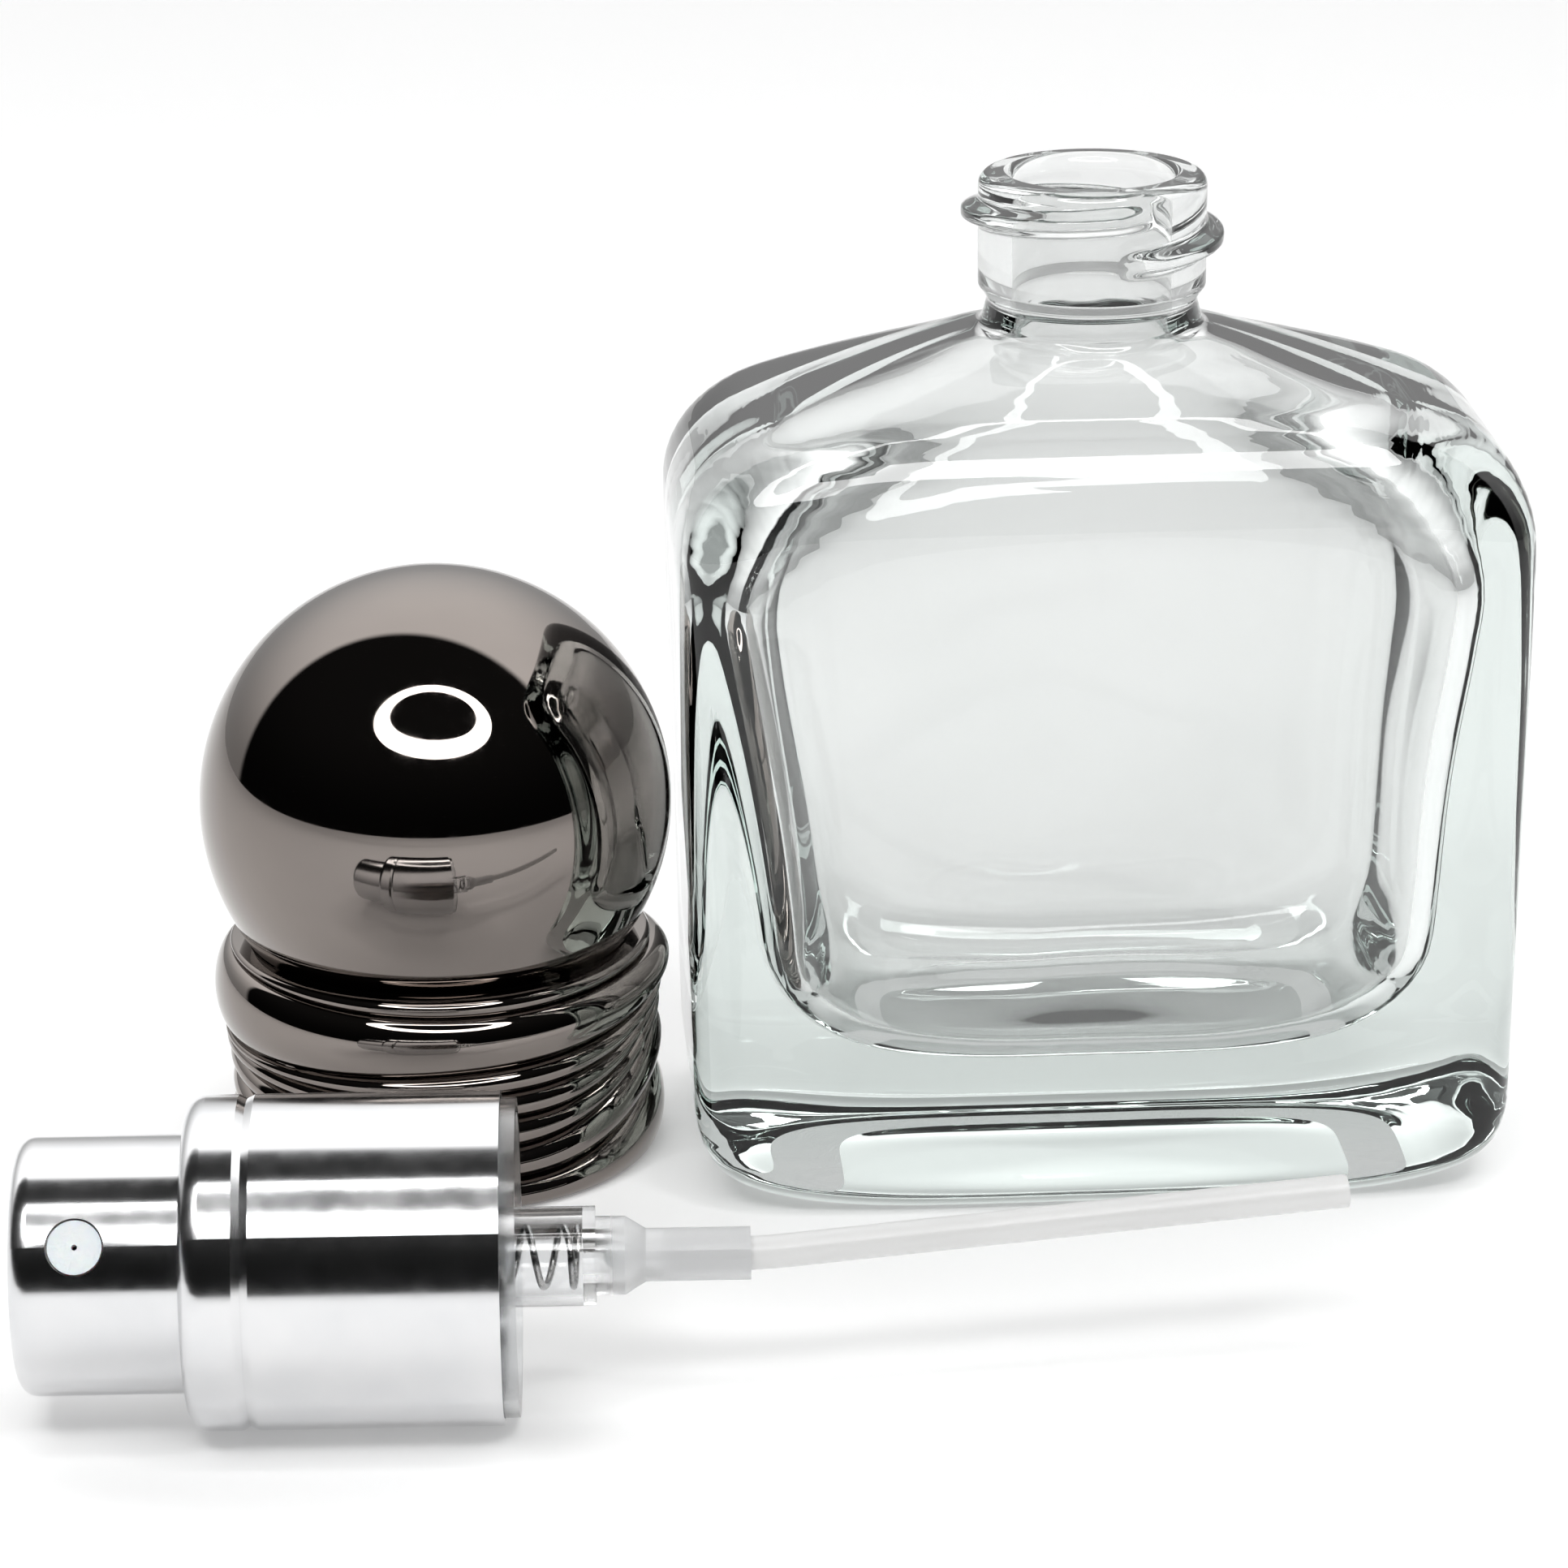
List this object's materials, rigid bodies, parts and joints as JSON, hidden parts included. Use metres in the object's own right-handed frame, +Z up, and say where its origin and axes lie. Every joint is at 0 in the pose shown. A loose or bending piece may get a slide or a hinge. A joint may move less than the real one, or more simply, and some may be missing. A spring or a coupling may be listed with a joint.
{
  "type": "aftershave bottle",
  "caption": "Square clear glass bottle with a screw neck, beside its metal-look ball cap on a wrapped skirt and its loose screw-on spray pump with a dip tube.",
  "frame": {"origin": "centre of the bottle's base, on the surface it stands on", "axes": "+Z up the bottle's neck, -Y out of its front face, +X to the right seen from the front"},
  "size_m": [0.1, 0.0731, 0.0685],
  "materials": {
    "flint_glass": "clear polished flint glass",
    "gunmetal_plate": "dark nickel plate, mirror polished",
    "gunmetal_plate_skirt": "dark nickel plate over a cast wrapped texture",
    "liner_plastic": "natural polypropylene",
    "silver_aluminium": "bright dipped aluminium",
    "clear_plastic": "clear polypropylene",
    "gasket_foam": "white foamed seal",
    "clear_plastic_housing": "clear polypropylene",
    "milky_plastic": "natural polypropylene",
    "milky_plastic_stem": "natural polypropylene",
    "piston_plastic": "natural polyethylene",
    "spring_steel": "drawn stainless wire",
    "ball_glass": "ground glass ball",
    "tube_plastic": "milky extruded polyethylene",
    "silver_aluminium_button": "bright dipped aluminium",
    "core_plastic": "white polypropylene",
    "nozzle_plastic": "white moulded nozzle disc"
  },
  "bodies": {
    "bottle": {"glass_bottle": "flint_glass"},
    "ball_cap": {"cap_ball": "gunmetal_plate", "cap_skirt": "gunmetal_plate_skirt", "cap_liner": "liner_plastic"},
    "pump": {"pump_housing": "clear_plastic_housing", "turret": "milky_plastic", "neck_gasket": "gasket_foam", "spring": "spring_steel", "dip_tube": "tube_plastic"},
    "collar": {"collar_shell": "silver_aluminium", "collar_thread_ring": "clear_plastic"},
    "stem": {"stem": "milky_plastic_stem", "piston": "piston_plastic"},
    "actuator": {"actuator_shell": "silver_aluminium_button", "actuator_core": "core_plastic", "nozzle_insert": "nozzle_plastic"},
    "ball_check": {"inlet_ball": "ball_glass"}
  },
  "joints": [
    {"name": "cap_lift", "type": "slide", "parent": "bottle", "child": "ball_cap", "axis": [0, 0, 1], "range_m": [0, 0.06]},
    {"name": "sprayer_lift", "type": "slide", "parent": "bottle", "child": "pump", "axis": [0, 0, 1], "range_m": [0, 0.06]},
    {"name": "collar_spin", "type": "hinge", "parent": "pump", "child": "collar", "pos_m": [-0.05098, -0.04379, 0.0104], "axis": [-0.9993, 0.0365, 0], "continuous": true},
    {"name": "stem_press", "type": "slide", "parent": "pump", "child": "stem", "axis": [0.9993, -0.0365, 0], "range_m": [0, 0.0036], "stiffness_N_per_m": 2500, "springref_m": -0.002, "deforming": ["spring"]},
    {"name": "actuator_spin", "type": "hinge", "parent": "stem", "child": "actuator", "pos_m": [-0.06597, -0.04324, 0.0104], "axis": [-0.9993, 0.0365, 0], "continuous": true},
    {"name": "ball_check", "type": "slide", "parent": "pump", "child": "ball_check", "axis": [-0.9993, 0.0365, 0], "range_m": [0, 0.0008]}
  ]
}
